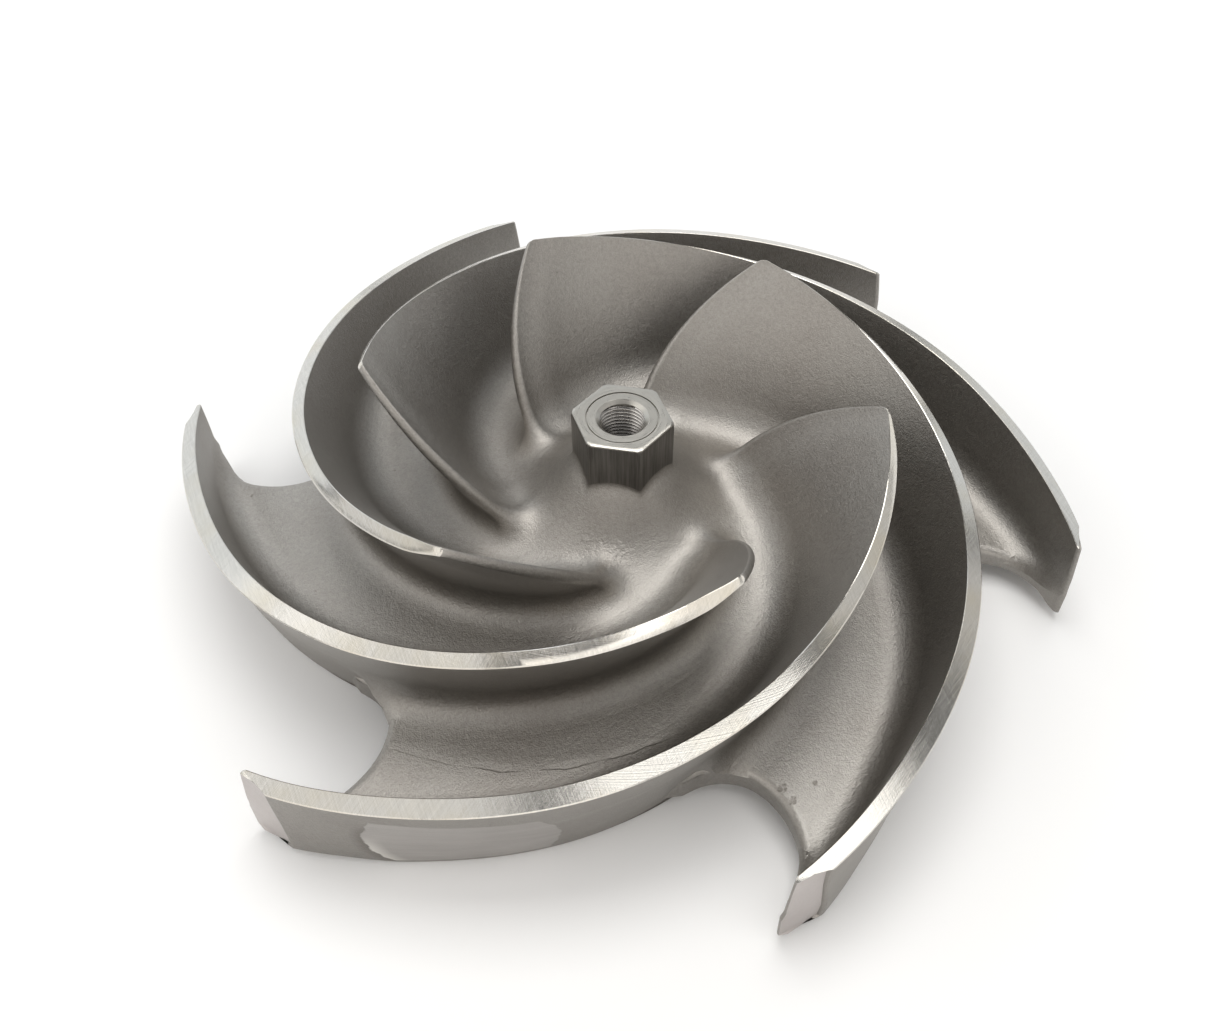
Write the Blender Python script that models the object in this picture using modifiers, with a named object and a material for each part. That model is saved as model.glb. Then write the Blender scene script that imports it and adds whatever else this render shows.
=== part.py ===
# Open mixed-flow pump impeller, cast in one piece: six twisted vanes on a
# scalloped back shroud, a bell-shaped hub and a hexagonal nose with a tapped hole.
# The shaft axis is Z. The machined back face lies at z = 0, the suction side faces +Z.

import bpy
import bmesh
import math
from mathutils import Matrix, Vector

mm = 0.001

# Driving dimensions, millimetres and degrees
outer_radius = 127.0
vane_count = 6
vane_pitch = 360.0 / vane_count

# Layout of one vane, inlet row first, tip row last. Each row holds the radius
# and wrap angle of the front edge, the radius and wrap angle at the channel
# floor, and half the vane thickness at the front edge.
vane_rows = [
    (69.5, 233.0, 32.0, 259.0, 1.1),
    (75.5, 209.5, 45.5, 230.5, 1.3),
    (83.0, 187.5, 59.5, 203.0, 1.6),
    (93.0, 166.0, 76.0, 174.0, 1.9),
    (104.0, 145.5, 94.0, 148.0, 2.1),
    (115.0, 126.0, 110.0, 126.0, 2.15),
    (127.0, 108.5, 127.0, 108.3, 1.85),
]
last_row = len(vane_rows) - 1
vane_root_extra = 1.0
inlet_bow_around = 7.5
inlet_bow_inward = 1.8
tip_overrun = 0.45

# Front contour that the vanes are turned to
front_rim_height = 28.4
front_slope = 0.37
front_throat_rise = 11.5
front_throat_radius = 69.5
front_throat_length = 10.9

# Channel floor, from the rim up to the foot of the nose
floor_rim_height = 9.4
floor_rim_radius = 114.0
floor_slope = 0.115
floor_hub_rise = 15.2
floor_hub_length = 11.5

# Cast fillet between vane and floor
fillet_reach = 5.0

# Scallop cut out of the shroud between two tips
scallop_points = [(127.5, 106.0), (121.0, 109.6), (114.0, 112.3), (104.0, 114.0), (94.0, 113.2),
                  (86.5, 110.2), (82.3, 105.5), (82.6, 101.5)]

# Hexagonal nose, its machined recess and the tapped hole
hex_across_flats = 24.6
hex_turn = 19.7
nose_foot_radius = 14.2
nose_foot_height = 30.0
nose_top_height = 50.5
recess_radius = 10.1
recess_depth = 1.0
tapped_radius = 6.5

# Back of the hub
pilot_bore_radius = 15.0
pilot_bore_depth = 16.0
back_ring_radius = 30.0
back_recess_radius = 74.0
back_recess_depth = 1.5
back_stock = 4.0

turned_steps = 96
margin = 5.0


def polar(radius, angle):
    turn = math.radians(angle)
    return radius * math.cos(turn), radius * math.sin(turn)


def front_height(radius):
    rise = front_throat_rise * math.exp(-(radius - front_throat_radius) / front_throat_length)
    return front_rim_height + front_slope * (outer_radius - radius) + rise


def floor_height(radius):
    rise = floor_hub_rise * math.exp(-(radius - nose_foot_radius) / floor_hub_length)
    return floor_rim_height + floor_slope * (floor_rim_radius - radius) + rise


def row_value(column, place):
    # Cubic through the rows, with the slope at each row taken from its neighbours
    values = [row[column] for row in vane_rows]
    last = last_row
    slopes = [values[1] - values[0]]
    slopes += [(values[i + 1] - values[i - 1]) / 2 for i in range(1, last)]
    slopes += [values[last] - values[last - 1]]
    if place > last:
        return values[last] + slopes[last] * (place - last)
    i = min(int(place), last - 1)
    t = place - i
    return (values[i] * (2 * t**3 - 3 * t**2 + 1) + slopes[i] * (t**3 - 2 * t**2 + t)
            + values[i + 1] * (3 * t**2 - 2 * t**3) + slopes[i + 1] * (t**3 - t**2))


def camber_point(place, depth):
    # depth 0 is the front edge, 1 the channel floor, more lies inside the shroud
    front_radius = row_value(0, place)
    floor_radius = row_value(2, place)
    front = Vector((*polar(front_radius, row_value(1, place)), front_height(front_radius)))
    floor = Vector((*polar(floor_radius, row_value(3, place)), floor_height(floor_radius)))
    point = front.lerp(floor, depth)
    bow = math.exp(-place) * 4 * max(depth * (1 - depth), 0.0)
    outward = Vector((point.x, point.y, 0)).normalized()
    around = Vector((-outward.y, outward.x, 0))
    return point + (around * inlet_bow_around - outward * inlet_bow_inward) * bow


def camber_normal(place, depth):
    # Level normal of the camber surface, towards the convex side
    step = 0.02
    along = camber_point(place + step, depth) - camber_point(max(place - step, 0), depth)
    return Vector((along.y, -along.x, 0)).normalized() * -1


def side_point(place, depth, side, extra=0.0):
    toward_root = min(max(depth, 0.0), 1.0) * max(1 - place / last_row, 0.0)
    half = row_value(4, min(place, last_row)) + vane_root_extra * toward_root
    if place == 0:
        half *= 0.45
    point = camber_point(place, depth)
    point += camber_normal(place, depth) * side * (half + extra)
    if depth == 0:
        point.z = front_height(math.hypot(point.x, point.y))
    return point


def depth_at_height(place, height):
    front = camber_point(place, 0).z
    floor = camber_point(place, 1).z
    return (front - height) / (front - floor)


def add_object(name, bm, collection):
    bmesh.ops.recalc_face_normals(bm, faces=bm.faces)
    mesh = bpy.data.meshes.new(name)
    bm.to_mesh(mesh)
    bm.free()
    obj = bpy.data.objects.new(name, mesh)
    collection.objects.link(obj)
    return obj


def loft(name, sections, collection):
    # Closed body through rings of equally many points. A ring runs down one side
    # and up the other, so its ends are closed by rungs between opposite points.
    bm = bmesh.new()
    rings = [[bm.verts.new(point * mm) for point in section] for section in sections]
    count = len(rings[0])
    for ring, following in zip(rings, rings[1:]):
        for i in range(count):
            j = (i + 1) % count
            bm.faces.new((ring[i], ring[j], following[j], following[i]))
    for ring in (rings[0], rings[-1]):
        for i in range(count // 2 - 1):
            bm.faces.new((ring[i], ring[i + 1], ring[count - 2 - i], ring[count - 1 - i]))
    bmesh.ops.triangulate(bm, faces=bm.faces)
    return add_object(name, bm, collection)


def turned(name, profile, collection, steps=turned_steps):
    mesh = bpy.data.meshes.new(name)
    points = [(radius * mm, 0, height * mm) for radius, height in profile]
    edges = [(i, i + 1) for i in range(len(points) - 1)]
    if profile[0][0] > 0:
        edges.append((len(points) - 1, 0))
    mesh.from_pydata(points, edges, [])
    obj = bpy.data.objects.new(name, mesh)
    collection.objects.link(obj)
    screw = obj.modifiers.new("Turn", "SCREW")
    screw.axis = "Z"
    screw.angle = math.tau
    screw.steps = steps
    screw.render_steps = steps
    screw.use_merge_vertices = True
    screw.merge_threshold = 0.00001
    return obj


def spun_copy(obj, index, collection):
    twin = obj.copy()
    twin.name = f"{obj.name}_{index + 1}"
    twin.rotation_euler.z = math.radians(-vane_pitch * index)
    collection.objects.link(twin)
    return twin


def combine(obj, other, operation):
    boolean = obj.modifiers.new(f"{operation.title()} {other.name}", "BOOLEAN")
    boolean.object = other
    boolean.operation = operation
    boolean.solver = "EXACT"


def make_disc(collection):
    radii = [0.0, 6.0, 10.0, 14.2, 17.0, 20.5, 25.0, 31.0, 39.0, 52.0, 72.0, 95.0]
    profile = [(0.0, floor_height(9.0))]
    profile += [(radius, floor_height(max(radius, 9.0))) for radius in radii[1:]]
    profile += [(outer_radius + margin, floor_height(outer_radius + margin)),
                (outer_radius + margin, -back_stock), (0.0, -back_stock)]
    return turned("impeller_casting", profile, collection)


def make_nose(collection):
    bm = bmesh.new()
    radius = hex_across_flats / math.sqrt(3) * mm
    depth = (nose_top_height - nose_foot_height) * mm
    place = Matrix.Translation((0, 0, (nose_top_height + nose_foot_height) / 2 * mm))
    turn = Matrix.Rotation(math.radians(hex_turn), 4, "Z")
    bmesh.ops.create_cone(bm, cap_ends=True, segments=6, radius1=radius, radius2=radius,
                          depth=depth, matrix=place @ turn)
    return add_object("nose", bm, collection)


def make_vane(collection):
    places = [0, 0.12, 0.35, 0.7, 1.05, 1.4, 1.8, 2.2, 2.6, 3.0, 3.4, 3.8, 4.2, 4.6, 5.0, 5.4, 5.8,
              last_row + tip_overrun]
    sections = []
    for place in places:
        back = depth_at_height(place, -back_stock / 2)
        inside = depth_at_height(place, floor_height(row_value(2, place)) - 3.0)
        deepest = back if row_value(0, place) > 84 else inside
        depths = [0.0, 0.3, 0.6, 0.85, 1.0, deepest]
        section = [side_point(place, depth, 1) for depth in depths]
        section += [side_point(place, depth, -1) for depth in reversed(depths)]
        sections.append(section)
    return loft("vane", sections, collection)


def make_fillet(collection):
    # The flare at the foot of a vane, kept just inside the vane at its top
    places = [0, 0.3, 0.65, 1.0, 1.4, 1.8, 2.2, 2.6, 3.0, 3.4, 3.8, 4.2, 4.6, 5.0, 5.5, last_row + tip_overrun]
    steps = [(fillet_reach, -0.4), (fillet_reach * 0.55, 0.5), (fillet_reach * 0.22, 1.7), (-0.6, 4.6),
             (-3.0, 4.6)]
    sections = []
    for place in places:
        floor = floor_height(row_value(2, place))
        section = []
        for side in (1, -1):
            points = []
            for rise, reach in steps:
                depth = depth_at_height(place, floor + rise)
                points.append(side_point(place, depth, side, reach))
            section += points if side == 1 else reversed(points)
        sections.append(section)
    return loft("fillet", sections, collection)


def make_scallop_cutter(collection):
    # The edge of the scallop, then along the next vane's middle and round the outside
    outline = [polar(radius, angle) for radius, angle in reversed(scallop_points)]
    mid_height = floor_rim_height * 0.6
    along = []
    for place in (3.75, 4.2, 4.7, 5.2, 5.7, 6.0, last_row + tip_overrun):
        point = camber_point(place, depth_at_height(place, mid_height))
        turned_point = Matrix.Rotation(math.radians(-vane_pitch), 3, "Z") @ point
        along.append((turned_point.x, turned_point.y))
    outline = list(reversed(along)) + outline
    far = outer_radius + 4 * margin
    outline += [polar(far, angle) for angle in (104.0, 92.0, 80.0, 68.0, 56.0, 46.0)]
    curve = bpy.data.curves.new("scallop_cutter", "CURVE")
    curve.dimensions = "2D"
    curve.fill_mode = "BOTH"
    curve.extrude = 20 * mm
    spline = curve.splines.new("POLY")
    spline.points.add(len(outline) - 1)
    for point, (x, y) in zip(spline.points, outline):
        point.co = (x * mm, y * mm, 0, 1)
    spline.use_cyclic_u = True
    obj = bpy.data.objects.new("scallop_outline", curve)
    collection.objects.link(obj)
    return as_mesh(obj, "scallop_cutter", collection)


def as_mesh(obj, name, collection):
    # A curve made a closed mesh, so that a Boolean can take it
    bpy.context.view_layer.update()
    evaluated = obj.evaluated_get(bpy.context.evaluated_depsgraph_get())
    mesh = bpy.data.meshes.new_from_object(evaluated)
    bm = bmesh.new()
    bm.from_mesh(mesh)
    bmesh.ops.remove_doubles(bm, verts=bm.verts, dist=0.000001)
    bmesh.ops.recalc_face_normals(bm, faces=bm.faces)
    bm.to_mesh(mesh)
    bm.free()
    result = bpy.data.objects.new(name, mesh)
    result.matrix_world = obj.matrix_world
    collection.objects.link(result)
    bpy.data.objects.remove(obj)
    return result


def make_rim_cutter(collection):
    far = outer_radius + 6 * margin
    profile = [(outer_radius, 80.0), (far, 80.0), (far, -10.0), (outer_radius, -10.0)]
    return turned("rim_cutter", profile, collection, turned_steps * 2)


def make_back_cutter(collection):
    # Faces the back at z = 0 and turns the shallow recess around the hub
    far = outer_radius + 6 * margin
    profile = [(0.0, 0.0), (back_ring_radius, 0.0), (back_ring_radius + 2, back_recess_depth),
               (back_recess_radius - 2, back_recess_depth), (back_recess_radius, 0.0), (far, 0.0),
               (far, -3 * back_stock), (0.0, -3 * back_stock)]
    return turned("back_cutter", profile, collection)


def make_bore_cutter(collection):
    profile = [(0.0, nose_top_height + 5), (recess_radius, nose_top_height + 5),
               (recess_radius, nose_top_height - recess_depth), (tapped_radius, nose_top_height - recess_depth),
               (tapped_radius, pilot_bore_depth), (pilot_bore_radius, pilot_bore_depth),
               (pilot_bore_radius, -5.0), (0.0, -5.0)]
    return turned("bore_cutter", profile, collection, 48)


def make_steel():
    steel = bpy.data.materials.new("cast_stainless")
    steel.use_nodes = True
    shader = steel.node_tree.nodes["Principled BSDF"]
    shader.inputs["Base Color"].default_value = (0.42, 0.40, 0.37, 1)
    shader.inputs["Metallic"].default_value = 1.0
    shader.inputs["Roughness"].default_value = 0.45
    return steel


def main():
    for obj in list(bpy.data.objects):
        bpy.data.objects.remove(obj)
    parts = bpy.data.collections.new("pump_impeller")
    tools = bpy.data.collections.new("cutters")
    for collection in (parts, tools):
        bpy.context.scene.collection.children.link(collection)

    casting = make_disc(parts)
    casting.data.materials.append(make_steel())
    fillet = make_fillet(tools)
    vane = make_vane(tools)
    scallop = make_scallop_cutter(tools)
    for shape, operation in ((fillet, "UNION"), (scallop, "DIFFERENCE"), (vane, "UNION")):
        for index in range(vane_count):
            combine(casting, spun_copy(shape, index, tools), operation)
        bpy.data.objects.remove(shape)
    combine(casting, make_nose(tools), "UNION")
    combine(casting, make_rim_cutter(tools), "DIFFERENCE")
    combine(casting, make_back_cutter(tools), "DIFFERENCE")
    combine(casting, make_bore_cutter(tools), "DIFFERENCE")
    for obj in tools.objects:
        obj.hide_render = True
        obj.display_type = "WIRE"


main()
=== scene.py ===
# Looks for the cast stainless pump impeller: shroud, hub with hexagonal nose, six vanes and the nose thread.
import math
import bpy
import bmesh
from mathutils import Matrix, Vector
from mathutils.kdtree import KDTree


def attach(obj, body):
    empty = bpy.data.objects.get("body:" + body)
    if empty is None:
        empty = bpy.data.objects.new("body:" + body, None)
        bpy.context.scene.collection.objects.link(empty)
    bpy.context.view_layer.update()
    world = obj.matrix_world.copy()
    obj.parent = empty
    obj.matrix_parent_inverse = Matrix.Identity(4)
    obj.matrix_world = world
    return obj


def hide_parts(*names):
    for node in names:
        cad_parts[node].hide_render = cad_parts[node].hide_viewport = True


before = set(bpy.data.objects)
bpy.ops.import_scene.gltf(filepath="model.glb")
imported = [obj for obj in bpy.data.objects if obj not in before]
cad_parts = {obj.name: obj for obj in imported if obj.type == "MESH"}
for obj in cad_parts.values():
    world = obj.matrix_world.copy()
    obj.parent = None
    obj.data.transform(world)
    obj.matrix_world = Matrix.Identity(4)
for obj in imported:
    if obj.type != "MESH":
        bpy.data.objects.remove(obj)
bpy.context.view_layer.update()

castingNode = "impeller_casting"
mm = 0.001


# The whole casting in millimetres and degrees. A vane row holds the radius and wrap of its front edge,
# the radius and wrap of its foot on the channel floor, and half its thickness at the front edge.
casting = {
    "vanes": 6,
    "rows": [
        (69.5, 233.0, 32.0, 259.0, 1.1), (75.5, 209.5, 45.5, 230.5, 1.3), (83.0, 187.5, 59.5, 203.0, 1.6),
        (93.0, 166.0, 76.0, 174.0, 1.9), (104.0, 145.5, 94.0, 148.0, 2.1), (115.0, 126.0, 110.0, 126.0, 2.15),
        (127.0, 108.5, 127.0, 108.3, 1.85)],
    "rimRadius": 127, "rimHeight": 28.4, "frontSlope": 0.37,
    "frontCurl": (69.5, 11.5, 10.9),  # added height at the inlet: radius, height and reach
    "floorRadius": 114, "floorHeight": 9.4, "floorSlope": 0.115,
    "bell": (12.3, 14.9, 10, 1.35),  # radius, height, reach and fullness
    "rootExtra": 1.5, "rootInner": 2.4, "rootOuter": 0.9,  # thicker feet: all round, inlet end, rim end
    "bowAround": 7.5, "bowInward": 1.8,
}
rowColumns = {"frontRadius": 0, "frontWrap": 1, "footRadius": 2, "footWrap": 3, "half": 4}
pitch = 360 / casting["vanes"]
lastRow = len(casting["rows"]) - 1


def polar(radius, angle):
    return Vector((radius * math.cos(math.radians(angle)), radius * math.sin(math.radians(angle)), 0))


def frontHeight(radius):  # turned front contour
    start, height, reach = casting["frontCurl"]
    slope = casting["frontSlope"] * (casting["rimRadius"] - radius)
    return casting["rimHeight"] + slope + height * math.exp(-(radius - start) / reach)


def floorHeight(radius):  # channel floor, rising to the bell at the hub
    start, height, reach, fullness = casting["bell"]
    slope = casting["floorSlope"] * (casting["floorRadius"] - radius)
    return casting["floorHeight"] + slope + height * math.exp(-(max(radius - start, 0) / reach) ** fullness)


def smoothStep(low, high, value):
    t = min(max((value - low) / (high - low), 0.0), 1.0)
    return t * t * (3 - 2 * t)


def mix(a, b, t):
    return a + (b - a) * t


def smoothCurve(values, place):  # cubic through evenly placed values
    last = len(values) - 1
    if place >= last:
        return values[last] + (values[last] - values[last - 1]) * (place - last)
    i = max(int(place), 0)
    t = place - i
    before = values[i + 1] - values[i] if i == 0 else (values[i + 1] - values[i - 1]) / 2
    after = values[last] - values[last - 1] if i + 1 == last else (values[i + 2] - values[i]) / 2
    return (values[i] * (2 * t**3 - 3 * t**2 + 1) + before * (t**3 - 2 * t**2 + t)
            + values[i + 1] * (3 * t**2 - 2 * t**3) + after * (t**3 - t**2))


def rowValue(name, place):  # place 0 is the first row and lastRow the last
    column = rowColumns[name]
    return smoothCurve([row[column] for row in casting["rows"]], place)


def camberPoint(place, depth):  # the vane's middle line, from its front edge at depth 0 to its foot at 1
    frontRadius = rowValue("frontRadius", place)
    footRadius = rowValue("footRadius", place)
    front = polar(frontRadius, rowValue("frontWrap", place))
    front.z = frontHeight(frontRadius)
    foot = polar(footRadius, rowValue("footWrap", place))
    foot.z = floorHeight(footRadius)
    point = front.lerp(foot, depth)
    bow = math.exp(-place) * 4 * max(depth * (1 - depth), 0.0)
    outward = Vector((point.x, point.y, 0)).normalized()
    around = Vector((-outward.y, outward.x, 0))
    return point + (around * casting["bowAround"] - outward * casting["bowInward"]) * bow


def depthAt(place, height):
    front = frontHeight(rowValue("frontRadius", place))
    return (front - height) / (front - floorHeight(rowValue("footRadius", place)))


def camberFrame(place, depth):  # point, level normal to the convex side, level direction up the stream
    step = 0.02
    start = max(place - step, 0)
    along = camberPoint(place + step, depth) - camberPoint(start, depth)
    along.z = 0
    along.normalize()
    return camberPoint(place, depth), Vector((-along.y, along.x, 0)), -along


def finishPiece(name, bm, materials, sharpAngle=32):
    bmesh.ops.recalc_face_normals(bm, faces=bm.faces)
    for face in bm.faces:
        face.smooth = True
    mesh = bpy.data.meshes.new(name)
    bm.to_mesh(mesh)
    bm.free()
    for material in materials:
        mesh.materials.append(material)
    mesh.set_sharp_from_angle(angle=math.radians(sharpAngle))
    piece = bpy.data.objects.new(name, mesh)
    bpy.context.scene.collection.objects.link(piece)
    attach(piece, "root")
    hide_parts(castingNode)
    return piece


def gridMesh(columns, rows, placeVertex, finishOf=None):  # a flat grid, sent vertex by vertex to its places
    mergeGap = 0.0008 * mm
    bm = bmesh.new()
    bmesh.ops.create_grid(bm, x_segments=columns - 1, y_segments=rows - 1, size=0.5)
    if finishOf:
        for face in bm.faces:
            middle = face.calc_center_median()
            column, row = (middle.x + 0.5) * (columns - 1), (middle.y + 0.5) * (rows - 1)
            face.material_index = finishOf(int(column), int(row))
    for vert in bm.verts:
        column = round((vert.co.x + 0.5) * (columns - 1))
        row = round((vert.co.y + 0.5) * (rows - 1))
        vert.co = placeVertex(column, row) * mm
    bmesh.ops.remove_doubles(bm, verts=bm.verts, dist=mergeGap)
    return bm


def newMaterial(name):
    material = bpy.data.materials.new(name)
    material.use_nodes = True
    return material


castSteel = newMaterial("castSteel")
turnedSteel = newMaterial("turnedSteel")
filedSteel = newMaterial("filedSteel")
noseSteel = newMaterial("noseSteel")
flatSteel = newMaterial("flatSteel")
threadSteel = newMaterial("threadSteel")

# Scallop: the open edge of the shroud between two tips, as radius and wrap, from tip to next vane
scallop = {
    "points": [
        (127.2, 105.5), (123.6, 107.7), (118.5, 110.1), (113.0, 111.8), (107.0, 112.45), (101.0, 112.35),
        (95.5, 111.4), (91.0, 109.5), (88.2, 106.4), (87.6, 102.8), (88.9, 99.4), (90.5, 96.6)],
    "stepsPerPoint": 30, "edgeRound": 2.3, "underside": 4.6,
}
scallopSteps = scallop["stepsPerPoint"] * (len(scallop["points"]) - 1)
scallopCurve = [tuple(smoothCurve([point[axis] for point in scallop["points"]], i / scallop["stepsPerPoint"])
                      for axis in (0, 1)) for i in range(scallopSteps + 1)]
edgeTree = KDTree(3 * len(scallopCurve))
edgeAlong = []
for shift in (-1, 0, 1):
    line = [polar(radius, angle + pitch * shift) for radius, angle in scallopCurve]
    for i, spot in enumerate(line):
        edgeTree.insert(spot, len(edgeAlong))
        edgeAlong.append((line[min(i + 1, len(line) - 1)] - line[max(i - 1, 0)]).normalized())
edgeTree.balance()


def edgeRoom(point):  # how far inside the scallop's edge a point lies; negative in the gap
    spot, index, distance = edgeTree.find((point.x, point.y, 0))
    away, along = point - spot, edgeAlong[index]
    across = away.x * along.y - away.y * along.x
    pastEnd = abs(across) <= distance * 0.7
    return math.copysign(distance, across) if pastEnd else across


def edgeDrop(point):  # rounding of the scallop's upper edge
    radius = scallop["edgeRound"]
    room = max(edgeRoom(point), 0.0)
    return 0.0 if room >= radius else radius - math.sqrt(radius**2 - (radius - room) ** 2)


# Vane: walls from the turned front edge down to the floor, with a cast fillet on each side.
# A place counts the rows from the inlet edge outward, and a pair of places says where a change starts and
# where it is full. lipFrom is such a pair in radii.
vane = {
    "stations": 118, "noseSteps": 16, "wallSteps": 18, "filletSteps": 14, "capSteps": 6, "wallEase": 1.6,
    "endShares": [1.0, 0.9995, 0.9985, 0.9965, 0.9935], "lastShare": 0.989, "stationEase": 1.25,
    "length": 240, "rowLength": 31, "wallLength": 56, "sharpAngle": 24,
    "filletConvex": [9.0, 10.0, 9.4, 10.6, 12.5, 7.0, 6.6], "filletConcave": 8.4, "filletFullness": 2.3,
    "edgeBreak": 0.22, "inletTaper": (0.6, 0.9), "inletCorner": 1.4, "tipRound": 1.1,
    "lipReach": 0.8, "lipSink": 0.06, "underReach": 0.6, "underSink": 2.5, "openSink": 3.0,
    "roomFrom": 2.5, "openFrom": 3.85, "openRoom": 3.0, "keelFrom": (2.6, 3.1), "lipFrom": (121.0, 125.5),
    "overEdge": [(0.12, (5.0, 5.6)), (0.45, (5.6, 6.0))],
    "lowest": 0.03, "footBevel": 0.7, "tipRise": 2.2, "tipRiseFrom": (5.15, 5.6),
    "tipConvex": (127.5, 127.2), "tipConcave": (126.2, 126.85), "rimSearch": (5.3, 6.7),
}
vaneLevels = [("ridge", 0), ("edge", 0)]
vaneLevels += [("wall", 1 - (i / vane["wallSteps"]) ** vane["wallEase"]) for i in range(vane["wallSteps"])]
vaneLevels += [("fillet", i / vane["filletSteps"]) for i in range(vane["filletSteps"] + 1)]
vaneLevels += [("lip", 0), ("under", 0), ("keel", 0)]


def halfThickness(place, depth, turn=1.0):  # both sides grow thicker at the foot, each in its own place
    down = min(max(depth, 0.0), 1.0)
    atInlet = smoothStep(0, 0.5, place) * (1 - smoothStep(1.6, 3.0, place))
    atRim = smoothStep(3.3, 4.8, place)
    half = rowValue("half", min(place, lastRow)) + casting["rootExtra"] * down * max(1 - place / lastRow, 0.0)
    half += casting["rootInner"] * down**2 * atInlet * max(-turn, 0.0)
    half += casting["rootOuter"] * down**2 * atRim * max(turn, 0.0)
    thin, thick = vane["inletTaper"]
    return half * mix(mix(thin, thick, down), 1.0, smoothStep(0, 0.35, place))


def filletRadius(place, turn):  # wide under the convex side, tighter out at the rim
    return mix(vane["filletConcave"], smoothCurve(vane["filletConvex"], place), (turn + 1) / 2)


def roundCorner(place, share):  # rounds the corner between inlet edge and front edge
    radius, rowLength, wallLength = vane["inletCorner"], vane["rowLength"], vane["wallLength"]
    along, down = place * rowLength, (1 - share) * wallLength
    if along >= radius or down >= radius:
        return place, share
    u, v = 1 - along / radius, 1 - down / radius
    along = radius * (1 - u * math.sqrt(1 - v * v / 2))
    down = radius * (1 - v * math.sqrt(1 - u * u / 2))
    return along / rowLength, 1 - down / wallLength


def roomAlong(start, direction, far):  # free floor between a vane's wall and the scallop
    steps = 24
    last = edgeRoom(start)
    if last <= 0:
        return 0.0
    for i in range(1, steps + 1):
        here = edgeRoom(start + direction * (far * i / steps))
        if here < 0:
            return far * (i - 1 + last / (last - here)) / steps
        last = here
    return far


def footRoom(place, turn, radius, swing):  # how wide the foot may grow at this place
    foot, normal, upstream = camberFrame(place, 1.0)
    room = radius + vane["lipReach"]
    if place > vane["roomFrom"] and abs(turn) == 1:
        outward = normal * math.cos(swing) + upstream * math.sin(swing)
        room = roomAlong(foot + outward * halfThickness(place, 1.0, turn), outward, room)
        for extra, places in vane["overEdge"]:
            room += extra * smoothStep(*places, place)
    return room


def footShape(kind, amount, radius, room):  # reach from the wall, lift over the floor, share of the way down
    if kind == "fillet":
        power = 2 / vane["filletFullness"]
        free = min(max(1 - room / radius, 0.0), 1.0) ** (1 / power)
        bend = min(amount * math.pi / 2, math.acos(free))
        reach = radius * (1 - max(math.cos(bend), 0.0) ** power)
        lift = radius * (1 - math.sin(bend) ** power)
        return reach, lift, (1 + amount * vane["filletSteps"]) / (vane["filletSteps"] + 2)
    if kind == "lip":
        return min(radius + vane["lipReach"], room), -vane["lipSink" if room > radius else "openSink"], 1.0
    return -vane["underReach"] if kind == "under" else 0.0, -vane["underSink"], 1.0


def vaneVertex(place, turn, level, toTip=9.0):
    # turn is 1 on the convex side and -1 on the concave side, and passes between them round the inlet edge
    kind, amount = level
    radius = filletRadius(place, turn)
    floorZ = floorHeight(rowValue("footRadius", place))
    swing = math.acos(turn)
    share = {"ridge": 1.0, "edge": 1.0, "wall": amount}.get(kind)
    reach = 0.0
    if share is not None:
        place, share = roundCorner(place, share)
        depth = depthAt(place, floorZ + radius) * (1 - share)
    else:
        room = footRoom(place, turn, radius, swing)
        # the skirt: the foot goes straight down to the back, not out onto the floor
        skirt = smoothStep(vane["openFrom"] - 0.1, vane["openFrom"], place) if turn > 0 else 0.0
        skirt = max(skirt, 1 - smoothStep(0.0, vane["openRoom"], room))
        reach, lift, lower = footShape(kind, amount, radius, room)
        drop = smoothStep(0.0, 1.0, reach / max(min(radius, room), 0.01)) if kind == "fillet" else 1.0
        lowest = vane["lowest"] + vane["tipRise"] * smoothStep(*vane["tipRiseFrom"], place)
        bevelZ = lowest + vane["footBevel"]
        skirtZ = mix(floorZ + radius, bevelZ, lower) if kind in ("fillet", "lip") else lowest
        depth = mix(depthAt(place, floorZ + max(lift, -1.0)), depthAt(place, skirtZ), skirt)
        reach = mix(reach, -vane["underReach"] if kind == "under" else 0.0, skirt)
    point, normal, upstream = camberFrame(place, depth)
    middlePlan = math.hypot(point.x, point.y)
    offset = halfThickness(place, depth, turn) + reach - (vane["edgeBreak"] if kind == "edge" else 0.0)
    tipRound = vane["tipRound"]
    if toTip < tipRound:
        offset -= tipRound - math.sqrt(tipRound**2 - (tipRound - toTip) ** 2)
    if kind in ("ridge", "keel"):
        offset = 0.0
    point += normal * (offset * math.cos(swing)) + upstream * (offset * math.sin(swing))
    plan = math.hypot(point.x, point.y)
    if share is not None:
        topPlan = plan - middlePlan + rowValue("frontRadius", place)
        footPlan = plan - middlePlan + camberPoint(place, depthAt(place, floorZ + radius)).xy.length
        top = frontHeight(topPlan) - (vane["edgeBreak"] if kind == "wall" else 0.0)
        point.z = mix(floorHeight(footPlan) + radius, top, share)
    else:
        point.z = floorHeight(plan) + lift
        if kind == "fillet" or room > radius:
            point.z -= edgeDrop(point) * drop
        if kind == "lip" and room < radius:
            point.z = mix(point.z, bevelZ, smoothStep(*vane["lipFrom"], plan))
        if kind in ("under", "keel"):
            point.z = mix(point.z, lowest, smoothStep(*vane["keelFrom"], place))
        point.z = mix(point.z, skirtZ, skirt)
    return point


def tipRadius(turn, level):  # the tips are cut a little across the rim
    front, foot = vane["tipConvex"] if turn > 0 else vane["tipConcave"]
    otherFront, otherFoot = vane["tipConcave"] if turn > 0 else vane["tipConvex"]
    height = {"ridge": 1.0, "edge": 1.0, "wall": level[1]}.get(level[0], 0.0)
    towardMiddle = {"ridge": 0.5, "keel": 0.5, "edge": 0.06, "under": 0.16}.get(level[0], 0.0)
    return mix(mix(foot, front, height), mix(otherFoot, otherFront, height), towardMiddle)


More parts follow.
